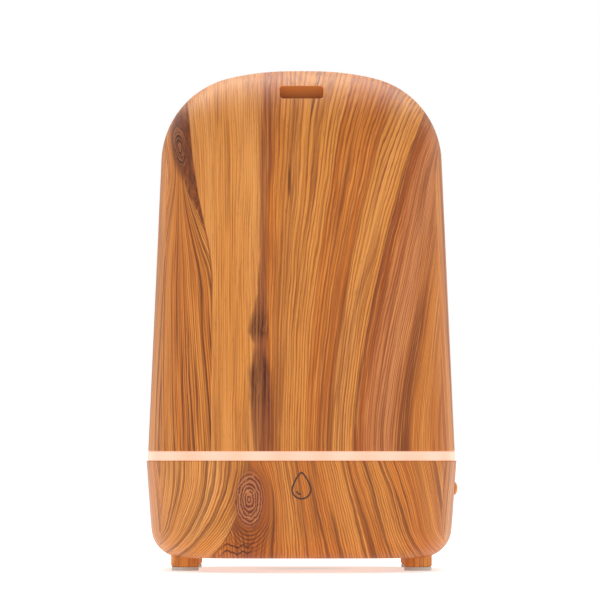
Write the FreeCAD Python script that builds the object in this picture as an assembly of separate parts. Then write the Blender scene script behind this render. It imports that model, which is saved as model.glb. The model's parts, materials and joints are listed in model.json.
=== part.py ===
"""Cool mist humidifier: a tall soft-square cover over a water tank, on a base that holds the works.

Frame: origin at the middle of the footprint on the resting plane, +Z up, front towards -Y, millimetres.
Every horizontal outline of the casing is the same superellipse, scaled.
"""
import FreeCAD, Part
import math
import os

V = FreeCAD.Vector
UP = V(0, 0, 1)

# ---- casing -----------------------------------------------------------------------------------
PLAN_EXPONENT = 4.0
PLAN_POINTS = 64

TAPER = 0.0435
SHOULDER_R = 29.9
SHOULDER_A = 17.5
SHOULDER_Z = 136.8
TOP_R = 95.2
COVER_WALL = 2.0
COVER_EDGE_ROUND = 0.4

RING_BOTTOM_Z = 36.8
RING_TOP_Z = 39.9
RING_HALF = 51.7
RING_INNER_HALF = 45.5
RING_EDGE_ROUND = 0.3
UPSTAND_OUTER_HALF = 49.0
UPSTAND_INNER_HALF = 47.4
UPSTAND_TOP_Z = 44.0

RIM_HALF = 52.2
RIM_ROUND = 0.45
BASE_TAPER = 0.0714
BASE_CORNER_R = 10.0
BASE_CORNER_Z = 14.4
BASE_BOTTOM_Z = 4.4
BASE_WALL = 2.2

# ---- mist outlet in the front shoulder ----------------------------------------------------------
SLOT_HALF_X = 7.15
SLOT_Y = (-39.1, -34.35)
SLOT_CORNER_R = 1.1
SLOT_EDGE_ROUND = 0.35
CHUTE_WALL = 1.4
CHUTE_BOTTOM_Z = 151.5

# ---- water tank, lid and mist tube --------------------------------------------------------------
TANK_HALF = 44.0
TANK_WALL = 2.0
TANK_BOTTOM_Z = 31.0
TANK_FLOOR_Z = 33.0
TANK_RIM_Z = 78.0
TANK_OUTER_CORNER_R = 3.0
TANK_INNER_CORNER_R = 6.0
FLANGE_HALF = 49.6
FLANGE_Z = (34.8, 36.8)
FILL_LINE_Z = 58.0
COLUMN_AT = (0.0, 26.0)
COLUMN_R = 9.0
COLUMN_BORE_R = 7.5
COLUMN_TOP_Z = 66.0

LID_CLEARANCE = 0.35
LID_SKIRT = 1.4
LID_TOP_Z = 80.0
LID_SKIRT_BOTTOM_Z = 71.0
TUBE_AT = (0.0, -30.0)
TUBE_R = 7.0
TUBE_BORE_R = 5.7
TUBE_BOTTOM_Z = 77.0
TUBE_TOP_Z = 146.0
TUBE_COLLAR_R = 9.5

SEAL_HALF = (46.3, 48.3)
SEAL_HEIGHT = 0.8

# ---- mist generator under the tank floor --------------------------------------------------------
DISC_AT = (0.0, -16.0)
WELL_R = 8.0
DISC_R = 10.0
DISC_Z = (29.0, 29.8)
DISC_SEAL_R = (7.6, 11.5)
SEAL_WALL_R = (11.8, 13.2)
CLAMP_Z = (26.2, 27.8)
CLAMP_R = (7.5, 14.5)
CLAMP_EAR_R = 3.2
CLAMP_SCREW_CIRCLE_R = 17.0
CLAMP_SCREW_ANGLES = (-90.0, 30.0, 150.0)

# ---- corner pillars that carry the tank ---------------------------------------------------------
PILLAR_AT = 39.8
PILLAR_R = 3.2
TANK_LEG_R = 2.5
LED_BOARD_Z = (31.2, 32.4)
LED_BOARD_HALF = (44.6, 48.9)
LED_OFFSET = 46.8
LED_SPREAD = 15.0
LED_SIZE = (3.5, 2.8, 1.9)

# ---- bottom cover, fan and duct -----------------------------------------------------------------
PLATE_SIZE = (66.0, 70.0)
PLATE_CORNER_R = 10.0
PLATE_GAP = 0.25
PLATE_Z = (4.6, 6.6)
LEDGE_WIDTH = 3.0
LEDGE_TOP_Z = 8.4
PLATE_SCREW_AT = (27.0, 29.0)
PLATE_BOSS_R = 3.4
PLATE_BOSS_TOP_Z = 11.4
FAN_AT = (0.0, 11.5)
FAN_SIZE = 40.0
FAN_Z = (8.6, 18.6)
FAN_BORE_R = 19.0
FAN_HOLE_AT = 16.0
FAN_BLADES = 7
BLADE_TIP_R = 18.2
HUB_R = 9.0
GRILLE_SLOTS = 7
GRILLE_PITCH = 4.6
GRILLE_SLOT = 2.4
GRILLE_R = 17.5
DUCT_FOOT_TOP_Z = 19.8

# ---- feet ---------------------------------------------------------------------------------------
FOOT_AT = (38.9, 22.5)
FOOT_R = 4.75
FOOT_Z = (1.3, 6.2)
FOOT_CHAMFER = 0.5
FOOT_BOSS_R = 5.4
FOOT_BOSS_TOP_Z = 9.0
PAD_R = 4.55
PAD_ROUND = 0.3

# ---- electronics --------------------------------------------------------------------------------
PCB_X = 34.0
PCB_Y = (-44.0, -10.0)
PCB_Z = (12.0, 13.6)
PCB_SCREWS = ((-31.0, -39.5), (31.0, -39.5), (-31.5, -13.0), (31.5, -13.0))
SOCKET_SIZE = (6.0, 6.0, 4.0)
SOCKET_RECESS = 0.8
SOCKET_X = 29.5
SOCKET_Y = (-29.5, -20.5)
CHIP_X = (-11.0, -2.0)
CHIP_Y = (-30.0, -23.0)
CHIP_HIGH = 1.6
COIL_AT = (-4.0, -16.0)
COIL_R = (3.4, 4.6)
COIL_HIGH = 6.6
COIL_FLANGE = 1.2
CAN_AT = (-16.0, -36.0)
CAN_R = 3.2
CAN_HIGH = 8.0
TRANSISTOR_X = (-1.0, 9.0)
TRANSISTOR_Y = (-38.0, -34.0)
TRANSISTOR_HIGH = 8.0
SINK_X = (-3.0, 11.0)
SINK_Y = (-43.2, -40.0, -38.0)
SINK_HIGH = 9.0
SINK_FINS = 5

# ---- push button and its switch, in the right side ----------------------------------------------
BUTTON_Z = 27.4
BUTTON_R = 2.2
BUTTON_HOLE_R = 2.3
BUTTON_PROUD = 1.5
BUTTON_TRAVEL = 0.35
BUTTON_FLANGE_R = 3.2
SWITCH_X = (41.0, 44.5)
PLUNGER_R = 1.7
PLUNGER_BORE_R = 1.78
PLUNGER_TIP_X = 46.3
BUTTON_STEM_GAP = 0.1
BUTTON_BOARD_X = (39.8, 41.0)
BUTTON_BOARD_HALF_Y = 9.8
BUTTON_BOARD_Z = (20.2, 30.2)

# ---- power inlet, in the back -------------------------------------------------------------------
JACK_Z = 20.0
JACK_BORE_R = 3.1
JACK_BORE_DEPTH = 10.0
JACK_BARREL_R = 4.2
JACK_FLANGE_R = 5.6
JACK_PIN_R = 1.0
JACK_ROOT_R = 0.8
JACK_REAR_Y = 38.2

# ---- fasteners: shank radius, head radius, head height --------------------------------------------
SCREW = (1.2, 2.0, 1.2)
SMALL_SCREW = (1.0, 1.9, 1.0)
FAN_SCREW = (1.45, 2.6, 1.5)
SCREW_FIT = 0.05

LEAD_R = 0.5


# ---- shared shapes ------------------------------------------------------------------------------
def unit_plan():
    """Periodic curve through the superellipse |x|^n + |y|^n = 1."""
    points = []
    for i in range(PLAN_POINTS):
        turn = 2 * math.pi * i / PLAN_POINTS
        c, s = math.cos(turn), math.sin(turn)
        reach = (abs(c) ** PLAN_EXPONENT + abs(s) ** PLAN_EXPONENT) ** (-1 / PLAN_EXPONENT)
        points.append(V(reach * c, reach * s, 0))
    curve = Part.BSplineCurve()
    curve.interpolate(points, PeriodicFlag=True)
    return curve


PLAN = unit_plan()


def plan_wire(half, z):
    """The casing outline with the given half-width, at height z."""
    curve = PLAN.copy()
    for i, pole in enumerate(PLAN.getPoles()):
        curve.setPole(i + 1, V(pole.x * half, pole.y * half, z))
    return Part.Wire(curve.toShape())


def plan_skin(edge):
    """Sweep one profile edge, drawn in (half-width, 0, z), round the casing outline."""
    profile = edge.Curve.toBSpline(edge.FirstParameter, edge.LastParameter)
    poles = [[V(q.x * p.x, q.x * p.y, q.z) for q in profile.getPoles()] for p in PLAN.getPoles()]
    weights = [list(profile.getWeights()) for p in PLAN.getPoles()]
    surface = Part.BSplineSurface()
    surface.buildFromPolesMultsKnots(
        poles, PLAN.getMultiplicities(), profile.getMultiplicities(),
        PLAN.getKnots(), profile.getKnots(), True, False, PLAN.Degree, profile.Degree, weights,
    )
    return surface.toShape()


def flat_ring(half_a, half_b, z):
    """Level face between two casing outlines, or inside one when the other is nothing."""
    outer = max(half_a, half_b)
    inner = min(half_a, half_b)
    if inner < 1e-6:
        return Part.Face(plan_wire(outer, z))
    return Part.makeFace([plan_wire(outer, z), plan_wire(inner, z)], "Part::FaceMakerBullseye")


def plan_solid(path):
    """Closed solid from a profile: (half, z) corners, where (half, z, mid) arrives on an arc through mid."""
    faces = []
    for here, step in zip(path, path[1:] + path[:1]):
        start, end = V(here[0], 0, here[1]), V(step[0], 0, step[1])
        if len(step) == 3:
            faces.append(plan_skin(Part.Arc(start, V(step[2][0], 0, step[2][1]), end).toShape()))
        elif abs(here[0]) + abs(step[0]) < 1e-9:
            continue
        elif abs(here[1] - step[1]) < 1e-9:
            faces.append(flat_ring(here[0], step[0], here[1]))
        else:
            faces.append(plan_skin(Part.LineSegment(start, end).toShape()))
    shell = Part.makeShell(faces)
    shell.sewShape()
    solid = Part.makeSolid(shell)
    if solid.Volume < 0:
        solid.reverse()
    return solid


def on_circle(centre, radius, degrees):
    turn = math.radians(degrees)
    return centre[0] + radius * math.cos(turn), centre[1] + radius * math.sin(turn)


def cylinder(radius, low, high, at=(0, 0)):
    return Part.makeCylinder(radius, high - low, V(at[0], at[1], low), UP)


def tube(outer, inner, low, high, at=(0, 0)):
    return cylinder(outer, low, high, at).cut(cylinder(inner, low, high, at))


def block(x, y, z):
    """Box between two limits on each axis."""
    return Part.makeBox(x[1] - x[0], y[1] - y[0], z[1] - z[0], V(x[0], y[0], z[0]))


def rounded_block(x, y, z, radius):
    """Box with its upright edges rounded."""
    body = block(x, y, z)
    upright = [e for e in body.Edges if abs(e.tangentAt(e.FirstParameter).z) > 0.9]
    return body.makeFillet(radius, upright)


def turned(points, at):
    """Solid of revolution about an upright axis, from (radius, z) corners."""
    wire = Part.makePolygon([V(r, 0, z) for r, z in points + points[:1]])
    body = Part.Face(wire).revolve(V(0, 0, 0), UP, 360)
    body.translate(V(at[0], at[1], 0))
    return body


def fused(shapes):
    return shapes[0].multiFuse(shapes[1:]).removeSplitter()


def corners(x, y):
    return [(sx * x, sy * y) for sx in (-1, 1) for sy in (-1, 1)]


def screw(kind, at, seat_z, tip_z):
    """Pan-head screw: the head sits on seat_z and the shank runs to tip_z, up or down."""
    shank_r, head_r, head_h = kind
    if tip_z < seat_z:
        head = cylinder(head_r, seat_z, seat_z + head_h, at)
        head = head.makeChamfer(0.35, [e for e in head.Edges if e.BoundBox.ZMin > seat_z + head_h / 2])
        socket = cylinder(head_r * 0.45, seat_z + head_h - 0.5, seat_z + head_h, at)
        return head.fuse(cylinder(shank_r, tip_z, seat_z, at)).cut(socket).removeSplitter()
    head = cylinder(head_r, seat_z - head_h, seat_z, at)
    head = head.makeChamfer(0.35, [e for e in head.Edges if e.BoundBox.ZMax < seat_z - head_h / 2])
    socket = cylinder(head_r * 0.45, seat_z - head_h, seat_z - head_h + 0.5, at)
    return head.fuse(cylinder(shank_r, seat_z, tip_z, at)).cut(socket).removeSplitter()


def lead(name, points):
    """Round lead along straight runs joined by tangent arcs."""
    points = [V(*p) for p in points]
    edges = []
    start = points[0]
    radii = []
    for before, corner, after in zip(points, points[1:], points[2:]):
        inward = (corner - before).normalize()
        outward = (after - corner).normalize()
        half_turn = inward.getAngle(outward) / 2
        shorter = min((corner - before).Length, (after - corner).Length)
        setback = 0.45 * shorter
        radius = setback / math.tan(half_turn)
        enter = corner - inward * setback
        leave = corner + outward * setback
        bisector = (outward - inward).normalize()
        middle = corner + bisector * (radius / math.cos(half_turn) - radius)
        edges.append(Part.LineSegment(start, enter).toShape())
        edges.append(Part.Arc(enter, middle, leave).toShape())
        radii.append(round(radius, 1))
        start = leave
    edges.append(Part.LineSegment(start, points[-1]).toShape())
    length = sum(e.Length for e in edges)
    path = Part.Wire(edges)
    first = (points[1] - points[0]).normalize()
    section = Part.Wire(Part.makeCircle(LEAD_R, points[0], first))
    body = path.makePipeShell([section], True, False)
    share = body.Volume / (math.pi * LEAD_R ** 2 * length)
    print(f"{name}: length {length:.1f} mm, bend radii {radii} mm, volume share {share:.4f}")
    return body


# ---- casing parts -------------------------------------------------------------------------------
def cover_profile(inset):
    """Outside line of the cover moved inwards by inset, from the apex down to the lower edge."""
    lean = math.atan(TAPER)
    shoulder_r = SHOULDER_R - inset
    top_r = TOP_R - inset
    top_centre_z = SHOULDER_Z - math.sqrt((TOP_R - SHOULDER_R) ** 2 - SHOULDER_A ** 2)
    apex = (0, top_centre_z + top_r)
    join = math.atan2(SHOULDER_Z - top_centre_z, SHOULDER_A)
    top_mid = (math.pi / 2 + join) / 2
    side_mid = (join + lean) / 2
    shoulder = (top_r * math.cos(join), top_centre_z + top_r * math.sin(join))
    top_arc = (top_r * math.cos(top_mid), top_centre_z + top_r * math.sin(top_mid))
    side = (SHOULDER_A + shoulder_r * math.cos(lean), SHOULDER_Z + shoulder_r * math.sin(lean))
    side_arc = (SHOULDER_A + shoulder_r * math.cos(side_mid), SHOULDER_Z + shoulder_r * math.sin(side_mid))
    return apex, shoulder + (top_arc,), side + (side_arc,)


def cover_wall_half(inset, z):
    """Half-width of the cover's straight wall at height z."""
    side = cover_profile(inset)[2]
    return side[0] + TAPER * (side[1] - z)


def cover_solid(inset, bottom_z):
    apex, shoulder, side = cover_profile(inset)
    return plan_solid([apex, shoulder, side, (cover_wall_half(inset, bottom_z), bottom_z), (0, bottom_z)])


def top_cover():
    bottom = RING_TOP_Z
    edge = COVER_EDGE_ROUND
    out_apex, out_shoulder, out_side = cover_profile(0)
    in_apex, in_shoulder, in_side = cover_profile(COVER_WALL)
    out_half = cover_wall_half(0, bottom)
    in_half = cover_wall_half(COVER_WALL, bottom)
    bulge = edge * (1 - math.sqrt(0.5))
    shell = plan_solid([
        out_apex, out_shoulder, out_side,
        (cover_wall_half(0, bottom + edge), bottom + edge),
        (out_half - edge, bottom, (out_half - bulge, bottom + bulge)),
        (in_half, bottom),
        in_side[:2],
        in_shoulder[:2] + (in_side[2],),
        in_apex + (in_shoulder[2],),
    ])
    x = SLOT_HALF_X + CHUTE_WALL
    y = (SLOT_Y[0] - CHUTE_WALL, SLOT_Y[1] + CHUTE_WALL)
    top = SHOULDER_Z + SHOULDER_R + 5
    outer = rounded_block((-x, x), y, (CHUTE_BOTTOM_Z, top), SLOT_CORNER_R + CHUTE_WALL)
    chute = outer.common(cover_solid(0.4, CHUTE_BOTTOM_Z - 5))
    opening = rounded_block((-SLOT_HALF_X, SLOT_HALF_X), SLOT_Y, (CHUTE_BOTTOM_Z - 1, top), SLOT_CORNER_R)
    body = shell.fuse(chute).cut(opening)
    return round_slot_edge(body)


def round_slot_edge(body):
    """Round the sharp rim where the mist outlet breaks the outside skin."""
    rim = []
    for edge in body.Edges:
        box = edge.BoundBox
        in_slot = abs(box.Center.x) < SLOT_HALF_X + 0.1 and SLOT_Y[0] - 0.1 < box.Center.y < SLOT_Y[1] + 0.1
        small = box.XLength < 2 * SLOT_HALF_X + 0.1 and box.YLength < SLOT_Y[1] - SLOT_Y[0] + 0.1
        if in_slot and small and box.ZMin > CHUTE_BOTTOM_Z + 3:
            rim.append(edge)
    return body.makeFillet(SLOT_EDGE_ROUND, rim)


def light_ring():
    r = RING_EDGE_ROUND
    m = r * (1 - math.sqrt(0.5))
    low, high = RING_BOTTOM_Z, RING_TOP_Z
    groove_top = low + SEAL_HEIGHT
    return plan_solid([
        (RING_HALF, high - r),
        (RING_HALF - r, high, (RING_HALF - m, high - m)),
        (UPSTAND_OUTER_HALF, high),
        (UPSTAND_OUTER_HALF, UPSTAND_TOP_Z),
        (UPSTAND_INNER_HALF, UPSTAND_TOP_Z),
        (UPSTAND_INNER_HALF, high),
        (RING_INNER_HALF, high),
        (RING_INNER_HALF, low),
        (SEAL_HALF[0], low),
        (SEAL_HALF[0], groove_top),
        (SEAL_HALF[1], groove_top),
        (SEAL_HALF[1], low),
        (RING_HALF - r, low),
        (RING_HALF, low + r, (RING_HALF - m, low + m)),
    ])


def tank_seal():
    return plan_solid([
        (SEAL_HALF[1], RING_BOTTOM_Z),
        (SEAL_HALF[1], RING_BOTTOM_Z + SEAL_HEIGHT),
        (SEAL_HALF[0], RING_BOTTOM_Z + SEAL_HEIGHT),
        (SEAL_HALF[0], RING_BOTTOM_Z),
    ])


def base_line(inset):
    """Outside line of the base moved inwards: rim, foot of the straight wall, mid corner, floor edge."""
    lean = math.atan(BASE_TAPER)
    tangent_z = BASE_CORNER_Z - BASE_CORNER_R * math.sin(lean)
    wall_at_tangent = RIM_HALF - BASE_TAPER * (RING_BOTTOM_Z - tangent_z)
    centre_a = wall_at_tangent - BASE_CORNER_R * math.cos(lean)
    r = BASE_CORNER_R - inset
    foot = (centre_a + r * math.cos(lean), BASE_CORNER_Z - r * math.sin(lean))
    mid = (math.pi / 2 + lean) / 2
    middle = (centre_a + r * math.cos(mid), BASE_CORNER_Z - r * math.sin(mid))
    floor = (centre_a, BASE_CORNER_Z - r)
    return foot, middle, floor


def base_half(inset, z):
    """Half-width of the base's straight wall at height z."""
    foot = base_line(inset)[0]
    return foot[0] + BASE_TAPER * (z - foot[1])


def corner_pillars():
    return [cylinder(PILLAR_R, BASE_BOTTOM_Z + 4, LED_BOARD_Z[0], at) for at in corners(PILLAR_AT, PILLAR_AT)]


def button_board_guides():
    """Two ribs on the right wall with a groove each, which hold the button's board upright."""
    guides = []
    wall = base_half(BASE_WALL, BUTTON_Z) + 0.8
    for side in (-1, 1):
        inner, outer = sorted((side * 9.0, side * 11.0))
        rib = block((38.8, wall), (inner, outer), (20.0, 30.4))
        near, far = sorted((side * 8.9, side * 10.0))
        slot = block((BUTTON_BOARD_X[0] - 0.1, BUTTON_BOARD_X[1] + 0.1), (near, far), (19.0, 31.0))
        guides.append(rib.cut(slot))
    return guides


def base_housing():
    top = RING_BOTTOM_Z
    out_foot, out_mid, out_floor = base_line(0)
    in_foot, in_mid, in_floor = base_line(BASE_WALL)
    m = RIM_ROUND * (1 - math.sqrt(0.5))
    shell = plan_solid([
        (0, BASE_BOTTOM_Z),
        out_floor,
        out_foot + (out_mid,),
        (base_half(0, top - RIM_ROUND), top - RIM_ROUND),
        (RIM_HALF - RIM_ROUND, top, (RIM_HALF - m, top - m)),
        (base_half(BASE_WALL, top), top),
        in_foot,
        in_floor + (in_mid,),
        (0, in_floor[1]),
    ])
    hx, hy = PLATE_SIZE[0] / 2, PLATE_SIZE[1] / 2
    floor_z = in_floor[1]
    adds = []
    ledge = rounded_block((-hx - 2, hx + 2), (-hy - 2, hy + 2), (floor_z, LEDGE_TOP_Z), PLATE_CORNER_R + 2)
    adds.append(ledge)
    adds += [cylinder(PLATE_BOSS_R, floor_z, PLATE_BOSS_TOP_Z, at) for at in corners(*PLATE_SCREW_AT)]
    adds += [cylinder(FOOT_BOSS_R, BASE_BOTTOM_Z + 1, FOOT_BOSS_TOP_Z, at) for at in corners(*FOOT_AT)]
    adds += [cylinder(3.0, floor_z, PCB_Z[0], at) for at in PCB_SCREWS]
    adds += corner_pillars()
    adds += button_board_guides()
    outside = plan_solid([
        (0, BASE_BOTTOM_Z), out_floor, out_foot + (out_mid,), (RIM_HALF - 0.5, top), (0, top),
    ])
    inner_x, inner_y = hx - LEDGE_WIDTH, hy - LEDGE_WIDTH
    window = rounded_block((-inner_x, inner_x), (-inner_y, inner_y), (4, LEDGE_TOP_Z + 1),
                           PLATE_CORNER_R - LEDGE_WIDTH)
    opening = rounded_block((-hx - PLATE_GAP, hx + PLATE_GAP), (-hy - PLATE_GAP, hy + PLATE_GAP),
                            (BASE_BOTTOM_Z - 1, PLATE_Z[1]), PLATE_CORNER_R + PLATE_GAP)
    body = shell.cut(window)
    trimmed = [piece.common(outside) for piece in adds[1:]]
    body = body.multiFuse([ledge.cut(window)] + trimmed)
    holes = [opening]
    holes += [cylinder(SCREW[0] + SCREW_FIT, PLATE_Z[1] - 1, PLATE_BOSS_TOP_Z - 0.6, at)
              for at in corners(*PLATE_SCREW_AT)]
    holes += [cylinder(FOOT_R + 0.1, BASE_BOTTOM_Z - 1, FOOT_Z[1], at) for at in corners(*FOOT_AT)]
    holes += [cylinder(SCREW[0] + SCREW_FIT, BASE_BOTTOM_Z, FOOT_BOSS_TOP_Z + 1, at)
              for at in corners(*FOOT_AT)]
    holes += [cylinder(SCREW[0] + SCREW_FIT, PCB_Z[0] - 4.6, PCB_Z[0] + 1, at) for at in PCB_SCREWS]
    holes += [cylinder(SCREW[0] + SCREW_FIT, 22, LED_BOARD_Z[0] + 1, at)
              for at in corners(PILLAR_AT, PILLAR_AT)]
    holes.append(Part.makeCylinder(BUTTON_HOLE_R, 12, V(44.5, 0, BUTTON_Z), V(1, 0, 0)))
    holes.append(Part.makeCylinder(JACK_BARREL_R + 0.1, 12, V(0, 45, JACK_Z), V(0, 1, 0)))
    for hole in holes:
        body = body.cut(hole)
    return body.removeSplitter()


def bottom_cover():
    hx, hy = PLATE_SIZE[0] / 2, PLATE_SIZE[1] / 2
    body = rounded_block((-hx, hx), (-hy, hy), PLATE_Z, PLATE_CORNER_R)
    low_rim = [e for e in body.Edges if e.BoundBox.ZMax < PLATE_Z[0] + 0.1]
    body = body.makeChamfer(0.4, low_rim)
    fan_holes = [(FAN_AT[0] + x, FAN_AT[1] + y) for x, y in corners(FAN_HOLE_AT, FAN_HOLE_AT)]
    body = body.multiFuse([cylinder(3.2, PLATE_Z[1] - 0.5, FAN_Z[0], at) for at in fan_holes])
    cuts = []
    for i in range(GRILLE_SLOTS):
        offset = (i - (GRILLE_SLOTS - 1) / 2) * GRILLE_PITCH
        half = math.sqrt(GRILLE_R ** 2 - offset ** 2) - GRILLE_SLOT / 2
        y = FAN_AT[1] + offset
        cuts.append(rounded_block((-half, half), (y - GRILLE_SLOT / 2, y + GRILLE_SLOT / 2),
                                  (PLATE_Z[0] - 1, PLATE_Z[1] + 1), GRILLE_SLOT / 2 - 0.01))
    cuts += [cylinder(FAN_SCREW[0] + SCREW_FIT, 5.2, FAN_Z[0] + 1, at) for at in fan_holes]
    cuts += [cylinder(SCREW[0] + 0.2, PLATE_Z[0] - 1, PLATE_Z[1] + 1, at) for at in corners(*PLATE_SCREW_AT)]
    cuts += [cylinder(SCREW[1] + 0.3, PLATE_Z[0] - 1, PLATE_Z[0] + 1.3, at)
             for at in corners(*PLATE_SCREW_AT)]
    for piece in cuts:
        body = body.cut(piece)
    return body.removeSplitter()


def foot(at):
    body = cylinder(FOOT_R, FOOT_Z[0], FOOT_Z[1], at)
    low = [e for e in body.Edges if e.BoundBox.ZMax < FOOT_Z[0] + 0.1]
    body = body.makeChamfer(FOOT_CHAMFER, low)
    return body.cut(cylinder(SCREW[0] + SCREW_FIT, FOOT_Z[0] + 1.4, FOOT_Z[1] + 1, at))


def foot_pad(at):
    body = cylinder(PAD_R, 0, FOOT_Z[0], at)
    low = [e for e in body.Edges if e.BoundBox.ZMax < 0.1]
    return body.makeFillet(PAD_ROUND, low)


# ---- tank, lid, tube ----------------------------------------------------------------------------
def water_tank():
    half, wall = TANK_HALF, TANK_WALL
    out_r, in_r = TANK_OUTER_CORNER_R, TANK_INNER_CORNER_R
    low, floor = TANK_BOTTOM_Z, TANK_FLOOR_Z
    inner = half - wall
    out_mid = (half - out_r + out_r * math.sin(math.pi / 4), low + out_r - out_r * math.sin(math.pi / 4))
    in_mid = (inner - in_r + in_r * math.sin(math.pi / 4), floor + in_r - in_r * math.sin(math.pi / 4))
    cup = plan_solid([
        (0, low),
        (half - out_r, low),
        (half, low + out_r, out_mid),
        (half, FLANGE_Z[0]),
        (FLANGE_HALF, FLANGE_Z[0]),
        (FLANGE_HALF, FLANGE_Z[1]),
        (half, FLANGE_Z[1]),
        (half, TANK_RIM_Z),
        (inner, TANK_RIM_Z),
        (inner, FILL_LINE_Z + 0.8),
        (inner - 0.5, FILL_LINE_Z + 0.6),
        (inner - 0.5, FILL_LINE_Z + 0.2),
        (inner, FILL_LINE_Z),
        (inner, floor + in_r),
        (inner - in_r, floor, in_mid),
        (0, floor),
    ])
    bosses = [cylinder(3.0, CLAMP_Z[1], floor - 0.5, on_circle(DISC_AT, CLAMP_SCREW_CIRCLE_R, a))
              for a in CLAMP_SCREW_ANGLES]
    legs = [cylinder(TANK_LEG_R, LED_BOARD_Z[1], FLANGE_Z[0] + 0.5, at)
            for at in corners(PILLAR_AT, PILLAR_AT)]
    column = cylinder(COLUMN_R, low + 0.5, COLUMN_TOP_Z, COLUMN_AT)
    collar = tube(SEAL_WALL_R[1], SEAL_WALL_R[0], 28.6, low + 0.5, DISC_AT)
    body = cup.multiFuse([column, collar] + bosses + legs)
    cuts = [cylinder(COLUMN_BORE_R, low - 1, COLUMN_TOP_Z + 1, COLUMN_AT),
            cylinder(WELL_R, low - 1, floor + 1, DISC_AT)]
    cuts += [cylinder(SMALL_SCREW[0] + SCREW_FIT, CLAMP_Z[1] - 1, floor - 0.8,
                      on_circle(DISC_AT, CLAMP_SCREW_CIRCLE_R, a)) for a in CLAMP_SCREW_ANGLES]
    cuts += [cylinder(SCREW[0] + SCREW_FIT, LED_BOARD_Z[1] - 1, FLANGE_Z[1] + 1, at)
             for at in corners(PILLAR_AT, PILLAR_AT)]
    cuts += [cylinder(SCREW[1] + 0.2, FLANGE_Z[1] - SCREW[2] - 0.1, FLANGE_Z[1] + 1, at)
             for at in corners(PILLAR_AT, PILLAR_AT)]
    for piece in cuts:
        body = body.cut(piece)
    return body.removeSplitter()


def inner_lid():
    inner = TANK_HALF + LID_CLEARANCE
    outer = inner + LID_SKIRT
    low, under, top = LID_SKIRT_BOTTOM_Z, TANK_RIM_Z, LID_TOP_Z
    body = plan_solid([
        (0, under), (inner, under), (inner, low), (outer, low),
        (outer, top - 1.0), (outer - 1.0, top, (outer - 0.293, top - 0.293)), (0, top),
    ])
    plug_outer = TANK_HALF - TANK_WALL - LID_CLEARANCE
    plug = plan_solid([
        (plug_outer, under + 0.5), (plug_outer - 1.2, under + 0.5),
        (plug_outer - 1.2, under - 4), (plug_outer, under - 4),
    ])
    boss = cylinder(TUBE_COLLAR_R, under, top + 2.2, TUBE_AT)
    body = body.fuse(plug).fuse(boss)
    return body.cut(cylinder(TUBE_R, TUBE_BOTTOM_Z - 5, top + 5, TUBE_AT)).removeSplitter()


def mist_tube():
    body = cylinder(TUBE_R, TUBE_BOTTOM_Z, TUBE_TOP_Z, TUBE_AT)
    collar_z = LID_TOP_Z + 2.2
    body = body.fuse(cylinder(TUBE_COLLAR_R, collar_z, collar_z + 1.5, TUBE_AT))
    body = body.cut(cylinder(TUBE_BORE_R, TUBE_BOTTOM_Z - 1, TUBE_TOP_Z + 1, TUBE_AT))
    body = body.removeSplitter()
    return body.makeFillet(0.4, [e for e in body.Edges if e.BoundBox.ZMin > TUBE_TOP_Z - 0.1])


# ---- mist generator -----------------------------------------------------------------------------
def transducer_disc():
    return cylinder(DISC_R, DISC_Z[0], DISC_Z[1], DISC_AT)


def transducer_seal():
    inner, outer = DISC_SEAL_R
    low, high = CLAMP_Z[1], TANK_BOTTOM_Z
    return turned([
        (inner, low), (outer, low), (outer, high), (inner, high),
        (inner, DISC_Z[1]), (DISC_R, DISC_Z[1]), (DISC_R, DISC_Z[0]), (inner, DISC_Z[0]),
    ], DISC_AT)


def transducer_clamp():
    body = cylinder(CLAMP_R[1], CLAMP_Z[0], CLAMP_Z[1], DISC_AT)
    ears = [cylinder(CLAMP_EAR_R, CLAMP_Z[0], CLAMP_Z[1], on_circle(DISC_AT, CLAMP_SCREW_CIRCLE_R, a))
            for a in CLAMP_SCREW_ANGLES]
    body = body.multiFuse(ears).cut(cylinder(CLAMP_R[0], CLAMP_Z[0] - 1, CLAMP_Z[1] + 1, DISC_AT))
    for a in CLAMP_SCREW_ANGLES:
        at = on_circle(DISC_AT, CLAMP_SCREW_CIRCLE_R, a)
        body = body.cut(cylinder(SMALL_SCREW[0] + SCREW_FIT, CLAMP_Z[0] - 1, CLAMP_Z[1] + 1, at))
    return body.removeSplitter()


# ---- fan ----------------------------------------------------------------------------------------
def fan_housing():
    half = FAN_SIZE / 2
    x, y = FAN_AT
    low, high = FAN_Z
    body = rounded_block((x - half, x + half), (y - half, y + half), FAN_Z, 3.0)
    body = body.cut(cylinder(FAN_BORE_R, low - 1, high + 1, FAN_AT))
    struts = [block((x - FAN_BORE_R - 0.5, x + FAN_BORE_R + 0.5), (y - 1.2, y + 1.2), (low, low + 1.6)),
              block((x - 1.2, x + 1.2), (y - FAN_BORE_R - 0.5, y + FAN_BORE_R + 0.5), (low, low + 1.6))]
    hub = [cylinder(HUB_R, low, low + 1.6, FAN_AT), cylinder(3.0, low, low + 5.0, FAN_AT)]
    body = body.multiFuse(struts + hub)
    for dx, dy in corners(FAN_HOLE_AT, FAN_HOLE_AT):
        body = body.cut(cylinder(FAN_SCREW[0] + 0.15, low - 1, high + 1, (x + dx, y + dy)))
    return body.cut(cylinder(1.03, low + 0.6, low + 6, FAN_AT)).removeSplitter()


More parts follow.
